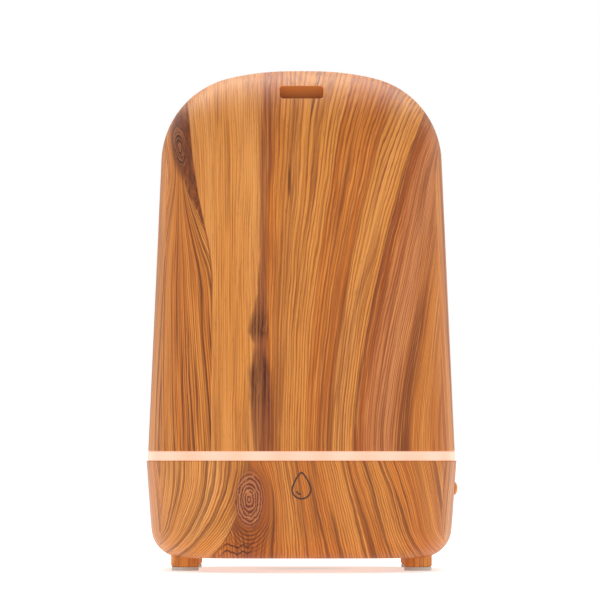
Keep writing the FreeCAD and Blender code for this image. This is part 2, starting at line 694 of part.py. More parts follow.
def fan_rotor():
    low = FAN_Z[0] + 2.0
    high = FAN_Z[1] - 0.8
    cup = cylinder(HUB_R, low, high, FAN_AT).cut(cylinder(HUB_R - 1.3, low - 1, high - 1.3, FAN_AT))
    shaft = cylinder(0.98, FAN_Z[0] + 1.0, high - 1.0, FAN_AT)
    reach = tube(BLADE_TIP_R, HUB_R - 0.4, low + 0.4, high - 0.4, FAN_AT)
    blades = []
    for i in range(FAN_BLADES):
        blade = block((HUB_R - 1, BLADE_TIP_R + 2), (-0.5, 0.5), (-8, 8))
        blade.rotate(V(0, 0, 0), V(1, 0, 0), 42)
        blade.rotate(V(0, 0, 0), UP, 360 * i / FAN_BLADES)
        blade.translate(V(FAN_AT[0], FAN_AT[1], (low + high) / 2))
        blades.append(blade.common(reach))
    return cup.multiFuse([shaft] + blades).removeSplitter()


def leaning_prism(low_r, low_at, low_z, high_r, high_at, high_z):
    """Eight-sided funnel body between two level octagons of different size and place."""
    rings = []
    for radius, at, z in ((low_r, low_at, low_z), (high_r, high_at, high_z)):
        turns = [22.5 + 45 * i for i in range(8)]
        rings.append([V(*on_circle(at, radius / math.cos(math.pi / 8), turn), z) for turn in turns])
    low, high = rings
    faces = [Part.Face(Part.makePolygon(ring + ring[:1])) for ring in rings]
    for i in range(8):
        j = (i + 1) % 8
        faces.append(Part.Face(Part.makePolygon([low[i], low[j], high[j], high[i], low[i]])))
    shell = Part.makeShell(faces)
    shell.sewShape()
    solid = Part.makeSolid(shell)
    if solid.Volume < 0:
        solid.reverse()
    return solid


def fan_duct():
    """Funnel from the fan's outlet to the foot of the tank's air column."""
    x, y = FAN_AT
    low, step, high = FAN_Z[1], DUCT_FOOT_TOP_Z, TANK_BOTTOM_Z
    half = FAN_SIZE / 2
    plate = rounded_block((x - half, x + half), (y - half, y + half), (low, step), 3.0)
    outer = leaning_prism(18.4, FAN_AT, step - 0.3, 9.8, COLUMN_AT, high)
    inner = leaning_prism(17.2, FAN_AT, low - 0.5, 8.2, COLUMN_AT, high - 1.2)
    outlet = leaning_prism(8.2, COLUMN_AT, high - 1.3, 8.2, COLUMN_AT, high + 1)
    body = plate.fuse(outer).cut(inner).cut(outlet)
    for dx, dy in corners(FAN_HOLE_AT, FAN_HOLE_AT):
        body = body.cut(cylinder(FAN_SCREW[0] + 0.15, low - 1, step + 1, (x + dx, y + dy)))
    return body.removeSplitter()


# ---- electronics --------------------------------------------------------------------------------
def led_board():
    low, high = LED_BOARD_Z
    inner, outer = LED_BOARD_HALF
    body = plan_solid([(outer, low), (outer, high), (inner, high), (inner, low)])
    for at in corners(PILLAR_AT, PILLAR_AT):
        body = body.cut(cylinder(SCREW[0] + 0.1, low - 1, high + 1, at))
    return body


def led_places():
    """Two lamps on each side: position and whether the side runs along X."""
    places = []
    for side in (-1, 1):
        for along in (-LED_SPREAD, LED_SPREAD):
            places.append(((along, side * LED_OFFSET), True))
            places.append(((side * LED_OFFSET, along), False))
    return places


def led(at, along_x):
    long, wide, high = LED_SIZE
    dx, dy = (long / 2, wide / 2) if along_x else (wide / 2, long / 2)
    low = LED_BOARD_Z[1]
    return block((at[0] - dx, at[0] + dx), (at[1] - dy, at[1] + dy), (low, low + high))


def main_pcb():
    body = rounded_block((-PCB_X, PCB_X), PCB_Y, PCB_Z, 1.5)
    for at in PCB_SCREWS:
        body = body.cut(cylinder(SCREW[0] + 0.1, PCB_Z[0] - 1, PCB_Z[1] + 1, at))
    return body


def lead_socket(at, opens):
    """Open-topped wire socket on the main board; opens names the side that the lead enters."""
    dx, dy, dz = SOCKET_SIZE
    low = PCB_Z[1]
    body = block((at[0] - dx / 2, at[0] + dx / 2), (at[1] - dy / 2, at[1] + dy / 2), (low, low + dz))
    y = (at[1] - 1.6, at[1] + 1.6)
    if opens == "top":
        return body.cut(block((at[0] - 1.6, at[0] + 1.6), y, (low + dz - SOCKET_RECESS, low + dz + 1)))
    side = 1 if opens == "right" else -1
    x = sorted((at[0] + side * (dx / 2 - SOCKET_RECESS), at[0] + side * (dx / 2 + 1)))
    return body.cut(block(x, y, (low + 0.8, low + 3.0)))


def microcontroller():
    return block(CHIP_X, CHIP_Y, (PCB_Z[1], PCB_Z[1] + CHIP_HIGH))


def inductor():
    """Bobbin core with a waist for its winding."""
    low, high = PCB_Z[1], PCB_Z[1] + COIL_HIGH
    waist, rim = COIL_R
    return turned([
        (0.0, low), (rim, low), (rim, low + COIL_FLANGE), (waist, low + COIL_FLANGE),
        (waist, high - COIL_FLANGE), (rim, high - COIL_FLANGE), (rim, high), (0.0, high),
    ], COIL_AT)


def capacitor():
    body = cylinder(CAN_R, PCB_Z[1], PCB_Z[1] + CAN_HIGH, CAN_AT)
    rims = [e for e in body.Edges if len(e.Vertexes) == 1]
    return body.makeFillet(0.4, rims)


def driver_transistor():
    return block(TRANSISTOR_X, TRANSISTOR_Y, (PCB_Z[1], PCB_Z[1] + TRANSISTOR_HIGH))


def heat_sink():
    """Back plate against the transistor, with upright fins."""
    heights = (PCB_Z[1], PCB_Z[1] + SINK_HIGH)
    fin_tip, plate_back, plate_front = SINK_Y
    pitch = (SINK_X[1] - SINK_X[0] - 1.0) / (SINK_FINS - 1)
    body = block(SINK_X, (plate_back, plate_front), heights)
    fins = []
    for i in range(SINK_FINS):
        x = SINK_X[0] + pitch * i
        fins.append(block((x, x + 1.0), (fin_tip, plate_back), heights))
    return fused([body] + fins)


def button_board():
    return block(BUTTON_BOARD_X, (-BUTTON_BOARD_HALF_Y, BUTTON_BOARD_HALF_Y), BUTTON_BOARD_Z)


# ---- push button --------------------------------------------------------------------------------
def power_button():
    """Domed cap on a short barrel, with a flange behind the wall and a stem towards the switch."""
    wall_out = base_half(0, BUTTON_Z)
    tip = wall_out + BUTTON_PROUD
    flange_out = base_half(BASE_WALL, BUTTON_Z) - 0.35
    flange_in = flange_out - 1.0
    stem_end = PLUNGER_TIP_X + BUTTON_STEM_GAP
    dome_height = 0.8
    dome_start = tip - dome_height
    dome_r = (BUTTON_R ** 2 + dome_height ** 2) / (2 * dome_height)
    half_angle = math.asin(BUTTON_R / dome_r) / 2
    dome_mid = V(tip - dome_r + dome_r * math.cos(half_angle), 0, dome_r * math.sin(half_angle))
    line = [
        Part.LineSegment(V(stem_end, 0, 0), V(stem_end, 0, 1.4)).toShape(),
        Part.LineSegment(V(stem_end, 0, 1.4), V(flange_in, 0, 1.4)).toShape(),
        Part.LineSegment(V(flange_in, 0, 1.4), V(flange_in, 0, BUTTON_FLANGE_R)).toShape(),
        Part.LineSegment(V(flange_in, 0, BUTTON_FLANGE_R), V(flange_out, 0, BUTTON_FLANGE_R)).toShape(),
        Part.LineSegment(V(flange_out, 0, BUTTON_FLANGE_R), V(flange_out, 0, BUTTON_R)).toShape(),
        Part.LineSegment(V(flange_out, 0, BUTTON_R), V(dome_start, 0, BUTTON_R)).toShape(),
        Part.Arc(V(dome_start, 0, BUTTON_R), dome_mid, V(tip, 0, 0)).toShape(),
        Part.LineSegment(V(tip, 0, 0), V(stem_end, 0, 0)).toShape(),
    ]
    body = Part.Face(Part.Wire(line)).revolve(V(0, 0, 0), V(1, 0, 0), 360)
    body.translate(V(0, 0, BUTTON_Z))
    return body


def switch_body():
    low, high = SWITCH_X
    body = block((low, high), (-3, 3), (BUTTON_Z - 3, BUTTON_Z + 3))
    return body.cut(Part.makeCylinder(PLUNGER_BORE_R, 3, V(high - 1.9, 0, BUTTON_Z), V(1, 0, 0)))


def switch_plunger():
    start = SWITCH_X[1] - 1.9 + BUTTON_TRAVEL + 0.35
    return Part.makeCylinder(PLUNGER_R, PLUNGER_TIP_X - start, V(start, 0, BUTTON_Z), V(1, 0, 0))


# ---- power inlet --------------------------------------------------------------------------------
def jack_face():
    """Outside face of the inlet's flange, which lies on the back of the base."""
    return base_half(0, JACK_Z + JACK_FLANGE_R) + 1.0


def along_y(radius, low, high):
    return Part.makeCylinder(radius, high - low, V(0, low, JACK_Z), V(0, 1, 0))


def dc_jack():
    face = jack_face()
    floor = face - JACK_BORE_DEPTH
    flange = along_y(JACK_FLANGE_R, face - 0.95, face)
    flange = flange.makeChamfer(0.3, [e for e in flange.Edges if e.BoundBox.YMin > face - 0.1])
    barrel = along_y(JACK_BARREL_R, floor - 1.5, face - 0.5)
    rear = block((-4.5, 4.5), (JACK_REAR_Y, floor - 1.0), (JACK_Z - 4.5, JACK_Z + 4.5))
    body = flange.fuse(barrel).fuse(rear)
    body = body.cut(along_y(JACK_BORE_R, floor, face + 1))
    return body.cut(along_y(JACK_ROOT_R, JACK_REAR_Y - 1, floor + 1))


def jack_pin():
    face = jack_face()
    contact = along_y(JACK_PIN_R, face - JACK_BORE_DEPTH, face - 1.0)
    contact = contact.makeFillet(0.4, [e for e in contact.Edges if e.BoundBox.YMin > face - 1.1])
    return contact.fuse(along_y(JACK_ROOT_R, JACK_REAR_Y, face - JACK_BORE_DEPTH + 0.5))


def jack_nut():
    wall_in = base_half(BASE_WALL, JACK_Z - 5.5) - 0.1
    points = [V(6.0 * math.cos(math.radians(60 * i)), wall_in, JACK_Z + 6.0 * math.sin(math.radians(60 * i)))
              for i in range(7)]
    body = Part.Face(Part.makePolygon(points)).extrude(V(0, -1.8, 0))
    return body.cut(along_y(JACK_BARREL_R + 0.02, 40, 52))


# ---- the set ------------------------------------------------------------------------------------
SOCKETS = {
    "transducer_socket": ((17.0, -36.0), "top"),
    "power_socket": ((SOCKET_X, SOCKET_Y[1]), "right"),
    "button_socket": ((SOCKET_X, SOCKET_Y[0]), "right"),
    "led_socket": ((-SOCKET_X, SOCKET_Y[0]), "left"),
    "fan_socket": ((-SOCKET_X, SOCKET_Y[1]), "left"),
}
SOCKET_LEAD_Z = PCB_Z[1] + 1.9
SOCKET_LEAD_X = SOCKET_X + SOCKET_SIZE[0] / 2 - SOCKET_RECESS

LEADS = {
    "transducer_lead": [
        (0, -16, DISC_Z[0]), (0, -16, 22.0), (8.5, -25.5, 20.6), (17, -36, 23.2),
        (17, -36, PCB_Z[1] + SOCKET_SIZE[2] - SOCKET_RECESS)],
    "power_lead": [
        (4.5, 39.6, 20), (17, 39.6, 20), (27.5, 33.5, 19), (29.5, 15, 17.5), (32.5, -3, 17),
        (38.5, -11.5, 16), (39.6, SOCKET_Y[1], SOCKET_LEAD_Z),
        (SOCKET_LEAD_X, SOCKET_Y[1], SOCKET_LEAD_Z)],
    "button_lead": [
        (39.8, -6, 22.6), (33.5, -6, 22.6), (35.5, -18, 21), (40.5, -25.5, 17),
        (39.3, SOCKET_Y[0], SOCKET_LEAD_Z), (SOCKET_LEAD_X, SOCKET_Y[0], SOCKET_LEAD_Z)],
    "led_lead": [
        (-46.6, -12, LED_BOARD_Z[0]), (-46.6, -12, 24), (-43.0, -20, 18),
        (-39.6, SOCKET_Y[0], SOCKET_LEAD_Z),
        (-SOCKET_LEAD_X, SOCKET_Y[0], SOCKET_LEAD_Z)],
    "fan_lead": [
        (-20, 4, 13.6), (-26.5, 4, 13.6), (-34, -5, 14.6), (-39.4, -13, 15.6),
        (-39.6, SOCKET_Y[1], SOCKET_LEAD_Z),
        (-SOCKET_LEAD_X, SOCKET_Y[1], SOCKET_LEAD_Z)],
}


def numbered(name, shapes):
    return {f"{name}_{i + 1}": shape for i, shape in enumerate(shapes)}


def parts():
    foot_places = corners(*FOOT_AT)
    fan_holes = [(FAN_AT[0] + x, FAN_AT[1] + y) for x, y in corners(FAN_HOLE_AT, FAN_HOLE_AT)]
    clamp_holes = [on_circle(DISC_AT, CLAMP_SCREW_CIRCLE_R, a) for a in CLAMP_SCREW_ANGLES]
    pillar_holes = corners(PILLAR_AT, PILLAR_AT)
    head_seat = FLANGE_Z[1] - SCREW[2] - 0.1
    made = {
        "top_cover": top_cover(),
        "inner_lid": inner_lid(),
        "mist_tube": mist_tube(),
        "water_tank": water_tank(),
        "tank_seal": tank_seal(),
        "light_ring": light_ring(),
        "base_housing": base_housing(),
        "bottom_cover": bottom_cover(),
        "transducer_disc": transducer_disc(),
        "transducer_seal": transducer_seal(),
        "transducer_clamp": transducer_clamp(),
        "fan_housing": fan_housing(),
        "fan_rotor": fan_rotor(),
        "fan_duct": fan_duct(),
        "led_board": led_board(),
        "main_pcb": main_pcb(),
        "microcontroller": microcontroller(),
        "driver_transistor": driver_transistor(),
        "heat_sink": heat_sink(),
        "inductor": inductor(),
        "capacitor": capacitor(),
        "button_board": button_board(),
        "power_button": power_button(),
        "switch_body": switch_body(),
        "switch_plunger": switch_plunger(),
        "dc_jack": dc_jack(),
        "jack_pin": jack_pin(),
        "jack_nut": jack_nut(),
        "foot_screws": Part.Compound([screw(SCREW, at, FOOT_BOSS_TOP_Z, 3.2) for at in foot_places]),
        "bottom_screws": Part.Compound(
            [screw(SCREW, at, PLATE_Z[0] + 1.3, PLATE_BOSS_TOP_Z - 0.9) for at in corners(*PLATE_SCREW_AT)]),
        "tank_screws": Part.Compound([screw(SCREW, at, head_seat, 23) for at in pillar_holes]),
        "clamp_screws": Part.Compound(
            [screw(SMALL_SCREW, at, CLAMP_Z[0], TANK_FLOOR_Z - 1.2) for at in clamp_holes]),
        "fan_screws": Part.Compound([screw(FAN_SCREW, at, DUCT_FOOT_TOP_Z, 5.4) for at in fan_holes]),
        "pcb_screws": Part.Compound([screw(SCREW, at, PCB_Z[1], PCB_Z[0] - 4.2) for at in PCB_SCREWS]),
    }
    made.update(numbered("foot", [foot(at) for at in foot_places]))
    made.update(numbered("foot_pad", [foot_pad(at) for at in foot_places]))
    made.update(numbered("led", [led(at, along_x) for at, along_x in led_places()]))
    made.update({name: lead_socket(at, opens) for name, (at, opens) in SOCKETS.items()})
    made.update({name: lead(name, points) for name, points in LEADS.items()})
    return made


if __name__ == "__main__":
    os.makedirs("parts", exist_ok=True)
    for node, shape in parts().items():
        shape.exportStep(f"parts/{node}.step")
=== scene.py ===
import json
import math

import bpy
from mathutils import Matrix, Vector
from mathutils.bvhtree import BVHTree


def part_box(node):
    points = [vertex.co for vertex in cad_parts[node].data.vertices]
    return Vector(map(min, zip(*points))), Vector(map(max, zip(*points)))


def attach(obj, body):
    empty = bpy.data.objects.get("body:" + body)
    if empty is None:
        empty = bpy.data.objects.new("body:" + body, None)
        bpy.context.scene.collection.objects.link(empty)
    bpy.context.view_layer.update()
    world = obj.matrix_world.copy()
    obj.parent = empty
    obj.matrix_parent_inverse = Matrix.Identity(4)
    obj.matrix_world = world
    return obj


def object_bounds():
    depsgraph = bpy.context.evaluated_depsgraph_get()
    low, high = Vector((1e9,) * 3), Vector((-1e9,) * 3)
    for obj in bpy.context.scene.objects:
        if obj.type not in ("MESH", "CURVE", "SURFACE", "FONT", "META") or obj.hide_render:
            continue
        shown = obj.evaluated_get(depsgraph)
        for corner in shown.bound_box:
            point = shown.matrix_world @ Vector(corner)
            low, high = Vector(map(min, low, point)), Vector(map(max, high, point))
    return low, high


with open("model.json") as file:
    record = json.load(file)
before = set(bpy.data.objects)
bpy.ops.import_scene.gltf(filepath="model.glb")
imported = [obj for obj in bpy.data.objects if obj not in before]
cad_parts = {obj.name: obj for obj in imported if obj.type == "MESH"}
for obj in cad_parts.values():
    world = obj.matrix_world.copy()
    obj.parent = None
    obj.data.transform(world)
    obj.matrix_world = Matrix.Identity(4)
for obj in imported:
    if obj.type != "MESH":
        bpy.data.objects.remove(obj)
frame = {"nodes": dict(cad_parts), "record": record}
cad_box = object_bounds()
nodes = frame["nodes"]
slot_of = {row["node"]: row["material_slot"] for row in frame["record"]["subparts"]}

MM_PER_M = 1000


def srgb(r, g, b):
    """A colour of 0 to 255 on screen, as the linear numbers that a shader takes."""
    def linear(v):
        v /= 255
        return v / 12.92 if v <= 0.04045 else ((v + 0.055) / 1.055) ** 2.4
    return (linear(r), linear(g), linear(b), 1.0)


# The colour sockets of Blender's Mix node, which share their names with its other sockets.
MIX_SHARE = 0
MIX_FIRST = 6
MIX_SECOND = 7
MIX_COLOUR = 2


class Wire:
    """A number that flows through a material's nodes, with ordinary arithmetic."""

    def __init__(self, graph, socket):
        self.graph = graph
        self.socket = socket

    def __add__(self, other):
        return self.graph.math("ADD", self, other)

    def __radd__(self, other):
        return self.graph.math("ADD", other, self)

    def __sub__(self, other):
        return self.graph.math("SUBTRACT", self, other)

    def __rsub__(self, other):
        return self.graph.math("SUBTRACT", other, self)

    def __mul__(self, other):
        return self.graph.math("MULTIPLY", self, other)

    def __rmul__(self, other):
        return self.graph.math("MULTIPLY", other, self)

    def __truediv__(self, other):
        return self.graph.math("DIVIDE", self, other)

    def __rtruediv__(self, other):
        return self.graph.math("DIVIDE", other, self)

    def __pow__(self, other):
        return self.graph.math("POWER", self, other)

    def __abs__(self):
        return self.graph.math("ABSOLUTE", self)


class Graph:
    """A material with its Principled shader, built from procedural nodes."""

    def __init__(self, name):
        self.material = bpy.data.materials.new(name)
        self.material.use_nodes = True
        self.tree = self.material.node_tree
        self.shader = self.tree.nodes["Principled BSDF"]
        self.coord = self.tree.nodes.new("ShaderNodeTexCoord")

    def node(self, kind, **settings):
        made = self.tree.nodes.new(kind)
        for key, value in settings.items():
            setattr(made, key, value)
        return made

    def put(self, socket, value):
        if isinstance(value, Wire):
            value = value.socket
        if isinstance(value, bpy.types.NodeSocket):
            self.tree.links.new(value, socket)
        else:
            socket.default_value = value

    def math(self, operation, *values):
        made = self.node("ShaderNodeMath", operation=operation)
        for socket, value in zip(made.inputs, values):
            self.put(socket, value)
        return Wire(self, made.outputs[0])

    def place_mm(self):
        split = self.node("ShaderNodeSeparateXYZ")
        self.tree.links.new(self.coord.outputs["Object"], split.inputs[0])
        return [Wire(self, out) * MM_PER_M for out in split.outputs]

    def vector(self, x, y, z):
        made = self.node("ShaderNodeCombineXYZ")
        for socket, value in zip(made.inputs, (x, y, z)):
            self.put(socket, value)
        return made.outputs[0]

    def noise(self, vector, scale=1.0, detail=2.0, roughness=0.5, distortion=0.0):
        made = self.node("ShaderNodeTexNoise")
        self.put(made.inputs["Vector"], vector)
        made.inputs["Scale"].default_value = scale
        made.inputs["Detail"].default_value = detail
        made.inputs["Roughness"].default_value = roughness
        made.inputs["Distortion"].default_value = distortion
        return Wire(self, made.outputs[0])

    def step(self, low, high, value):
        """0 at low, 1 at high, smooth between them; low may be above high."""
        made = self.node("ShaderNodeMapRange", interpolation_type="SMOOTHSTEP")
        for name, given in zip(("Value", "From Min", "From Max"), (value, low, high)):
            self.put(made.inputs[name], given)
        return Wire(self, made.outputs[0])

    def fall(self, low, high, value):
        return 1 - self.step(low, high, value)

    def bump_of(self, value, centre, half, soft=0.35):
        """1 within half of the centre, falling to 0 just outside."""
        return self.fall(1 - soft, 1 + soft, abs(value - centre) / half)

    def ramp(self, value, stops):
        made = self.node("ShaderNodeValToRGB")
        self.put(made.inputs[0], value)
        elements = made.color_ramp.elements
        elements[0].position, elements[0].color = stops[0]
        elements[1].position, elements[1].color = stops[-1]
        for place, colour in stops[1:-1]:
            elements.new(place).color = colour
        return made.outputs[0]

    def tones(self, value, span, rows):
        """A colour that follows the rows (place, colour), whose places run from 0 to span."""
        return self.ramp(value / span, [(at / span, tone) for at, tone in rows])

    def table(self, value, low, high, rows):
        """Three numbers from 0 to 1 that follow the rows (place, a, b, c)."""
        stops = [((place - low) / (high - low), (*three, 1.0)) for place, *three in rows]
        split = self.node("ShaderNodeSeparateColor")
        self.tree.links.new(self.ramp((value - low) / (high - low), stops), split.inputs[0])
        return [Wire(self, out) for out in split.outputs]

    def mix(self, share, first, second):
        made = self.node("ShaderNodeMix", data_type="RGBA", blend_type="MIX")
        self.put(made.inputs[MIX_SHARE], share)
        self.put(made.inputs[MIX_FIRST], first)
        self.put(made.inputs[MIX_SECOND], second)
        return made.outputs[MIX_COLOUR]

    def choose(self, share, first, second):
        return first + (second - first) * share

    def relief(self, height, strength, distance):
        made = self.node("ShaderNodeBump")
        made.inputs["Strength"].default_value = strength
        made.inputs["Distance"].default_value = distance
        self.put(made.inputs["Height"], height)
        self.tree.links.new(made.outputs[0], self.shader.inputs["Normal"])

    def set(self, **values):
        for key, value in values.items():
            self.put(self.shader.inputs[key.replace("_", " ")], value)


# ---- printed wood ------------------------------------------------------------------------
LIGHT = srgb(234, 160, 86)
GOLD = srgb(222, 142, 62)
MID = srgb(211, 124, 46)
DEEP = srgb(180, 94, 30)
BROWN = srgb(132, 64, 26)
DARK = srgb(76, 32, 16)
INNER_SKIN = (srgb(178, 118, 78), srgb(192, 134, 92))

# Lengths, heights and places of the figure are in millimetres in the row's frame. c is a place
# across the grain, measured round the casing from the middle of its front, + to the right.
FRONT_Y = (-30.0, 5.0)
SIDES_FROM_Y = -38.0
CORNER_C = 54.0
UPRIGHT_C = 96.0
SIDE_SPAN = 46.0
SIDE_ROUND = 9.0
FLANK_C = 60.0
FLANK_BANDS_C = (54.0, 62.0)
FLANK_BANDS = [(0.3, BROWN), (0.42, MID), (0.55, GOLD), (0.7, LIGHT)]
CLOSE_PITCH = 0.82

COVER_LOW = 40.0
DOME_Z = (128.0, 162.0)
FAN_HEIGHT = 106.0
FAN_FROM_C = -49.0
LEAN_TO_Z = 95.0
GATHER_Z = (92.0, 137.0)
LEFT_EDGE_C = -30.6
LEFT_EDGE_SHIFT = 8.8
LEFT_EDGE_Z = (96.0, 140.0)
COVER_KNOT = (-46.2, 141.0)
COVER_KNOT_HALF = (4.6, 7.4)
STAIN_WIDTH = 10.0
STREAK_C = -13.0
STREAK_Z = (36, 170)
# Height, then middle, half-width and strength from 0 to 1: a middle of 0 is at c -20 and 1 is
# at c 0, and a half-width of 1 is 6 mm.
STREAK_ROWS = (
    (36, 0.36, 0.56, 0.56), (46, 0.36, 0.68, 0.80), (56, 0.34, 0.72, 0.92),
    (66, 0.31, 0.70, 1.0), (72, 0.31, 0.46, 0.90), (75, 0.32, 0.36, 0.78),
    (79, 0.28, 0.62, 0.97), (84, 0.31, 0.54, 0.95), (92, 0.35, 0.34, 0.74),
    (106, 0.37, 0.28, 0.60), (126, 0.38, 0.28, 0.54), (136, 0.43, 0.50, 0.46),
    (150, 0.46, 0.60, 0.42), (160, 0.48, 0.50, 0.32), (170, 0.50, 0.30, 0.0))
# Tones from the streak to the right side, by distance along the fanned lines.
COVER_SPAN = 64
COVER_TONES = (
    (0.0, DEEP), (2.2, MID), (5.0, GOLD), (9.5, GOLD), (14.0, GOLD), (14.3, DEEP), (14.8, MID),
    (17.5, MID), (19.4, MID), (19.9, DEEP), (20.6, MID), (21.4, DEEP), (22.2, GOLD),
    (25.5, srgb(229, 152, 76)), (29.6, GOLD), (29.9, BROWN), (30.5, srgb(156, 82, 40)),
    (31.6, DEEP), (34.0, srgb(200, 118, 64)), (41.0, srgb(208, 132, 80)),
    (45.4, srgb(202, 122, 62)), (52.2, MID), (58.0, GOLD), (64.0, MID))
LINE_GROUP_AT = 48.4
SPINDLE = (-4.0, 129.0)
SLOT_LOW = 149.0
SLOT_Y = -36.7
SLOT_HALF = (7.4, 2.6)
SLOT_SHADE_Z = (150.0, 161.0)

BASE_TOP = 36.4
BASE_TURN_Z = (4.0, 15.0)
BASE_FAN_C = -25.0
BASE_EDGE_C = -17.4
BASE_KNOT = (-17.2, 24.0)
BASE_KNOT_HALF = (5.2, 9.5)
BASE_SPAN = 84
BASE_TONES = (
    (0.0, MID), (7.0, DEEP), (12.0, MID), (17.0, GOLD), (23.0, MID), (29.0, MID), (34.0, GOLD),
    (38.6, GOLD), (39.0, DEEP), (39.7, MID), (48.0, GOLD), (54.0, MID), (59.0, MID),
    (59.5, DEEP), (60.5, MID), (68.0, GOLD), (76.0, MID), (84.0, GOLD))
WAVES_Z = (6.6, 8.8)
WAVES_C = (-21.5, 5.5)


class Wood(Graph):
    """Printed wood, laid on tone by tone over the colour so far."""

    def __init__(self, name):
        super().__init__(name)
        self.x, self.y, self.z = self.place_mm()

    def lay(self, share, tone):
        self.colour = self.mix(share, self.colour, tone)

    def lay_rows(self, rows):
        """Rows of a noise, where its tone starts and is full, how much of it, and the tone."""
        for noise, start, full, share, tone in rows:
            self.lay(self.step(start, full, noise) * share, tone)

    def measure(self, wrap):
        """Set c: round the casing where wrap is 1, straight across it where wrap is 0."""
        across = abs(self.x)
        along = self.math("MAXIMUM", abs(self.y), 0.01)
        half = (across ** 4 + along ** 4) ** 0.25
        slope = across / along
        # rounded off in the middle of each side, where the front's lines meet the back's
        flat = 1 - 1 / self.math("MAXIMUM", slope, 1.0) ** 2
        rounded = (self.y ** 2 + SIDE_ROUND ** 2 * self.math("MAXIMUM", flat, 0.0)) ** 0.5
        far = half * (2 - rounded / self.math("MAXIMUM", across, 1.0))
        # the sides taper, but the middle of a side keeps its c, so lines there stay upright
        room = self.math("MAXIMUM", half * 2 - CORNER_C, 12.0)
        even = CORNER_C + (far - CORNER_C) * SIDE_SPAN / room
        far = self.choose(self.math("GREATER_THAN", far, CORNER_C), far, even)
        arc = self.choose(self.math("GREATER_THAN", slope, 1.0), half * slope, far)
        self.c = self.math("SIGN", self.x) * (across + wrap * (arc - across))
        self.front = self.fall(*FRONT_Y, self.y)

    def drift(self, across_scale, up_scale, seed, reach, detail=1.0):
        """A slow sideways shift of the lines, up to half of reach each way."""
        place = self.vector(self.c * across_scale, self.z * up_scale, seed)
        return (self.noise(place, detail=detail) - 0.5) * reach

    def reach_of(self, centre, half):
        """Distance from the middle of a knot, in knot sizes."""
        sideways = (self.c - centre[0]) / half[0]
        return (sideways ** 2 + ((self.z - centre[1]) / half[1]) ** 2) ** 0.5

    def follow(self, across):
        """Set the noises that run along the lines: broad figure, growth lines, fine lines and
        pores, all long and thin along the grain."""
        y = self.y
        turn = self.math("MAXIMUM", y - SIDES_FROM_Y, 0.0) * 0.035

        def grain(squeeze, stretch, depth, **look):
            return self.noise(self.vector(across * squeeze, self.z * stretch, depth), **look)

        self.across = across
        self.broad = grain(0.16, 0.006, turn + y * 0.02, detail=2.0)
        self.lines = grain(0.85, 0.011, turn + y * 0.03 + 7, detail=3.0, roughness=0.62)
        self.fine = grain(2.7, 0.035, turn + y * 0.05 + 19, detail=2.0, roughness=0.6)
        self.pores = grain(5.2, 0.32, y * 0.3 + 31, detail=1.0)

    def upright_sides(self, across, seed):
        """Each side is a board of its own, with upright lines."""
        flank = self.math("GREATER_THAN", abs(self.c) + self.wobble, FLANK_C)
        own = self.y * 0.9 + seed + self.math("SIGN", self.x) * 60
        return self.choose(flank, across, own) + self.sway + self.wobble

    def lay_side_bands(self):
        beyond = self.step(*FLANK_BANDS_C, abs(self.c))
        self.lay(beyond * 0.9, self.ramp(self.broad, FLANK_BANDS))

    def growth_lines(self, across, pitch, seed, faint, strong):
        """Lines at a nearly even pitch, crisp on one flank. A noise gives each its strength:
        none below faint, all of it above strong."""
        shift = self.noise(self.vector(across * 0.22, self.z * 0.012, seed), detail=1.0) * 2.4
        phase = across / pitch + shift
        part = self.math("FRACT", phase)
        own = self.vector(self.math("FLOOR", phase) * 0.73, self.z * 0.014, seed + 5)
        weight = self.step(faint, strong, self.noise(own, detail=1.0))
        return self.step(0.38, 0.84, part) * self.fall(0.90, 1.0, part) * weight

    def close_lines(self, seed):
        return self.growth_lines(self.across, CLOSE_PITCH, seed, 0.2, 0.5)

    def bold_lines(self, pitch, seed):
        return self.growth_lines(self.across + 0.3, pitch, seed, 0.44, 0.56)

    def inside_of(self, middle):
        """1 on faces that look towards the casing's own middle."""
        less = self.node("ShaderNodeVectorMath", operation="SUBTRACT")
        self.tree.links.new(self.coord.outputs["Object"], less.inputs[0])
        less.inputs[1].default_value = middle
        dot = self.node("ShaderNodeVectorMath", operation="DOT_PRODUCT")
        self.tree.links.new(self.coord.outputs["Normal"], dot.inputs[0])
        self.tree.links.new(less.outputs[0], dot.inputs[1])
        return self.math("LESS_THAN", Wire(self, dot.outputs["Value"]), 0.0)

    def finish(self, inside, inner):
        """The print outside, another tone inside, and shallow relief along the grain."""
        self.lay(inside, inner)
        self.put(self.shader.inputs["Base Color"], self.colour)
        self.set(Roughness=0.36 + self.fine * 0.1 + self.pores * 0.06,
                 Specular_IOR_Level=0.27)
        self.relief(self.fine * 0.6 + self.pores * 0.4, 0.12, 0.00004)

    def finish_casing(self, inside):
        speck = self.noise(self.coord.outputs["Object"], scale=900.0, detail=2.0)
        self.finish(inside, self.mix(speck, *INNER_SKIN))


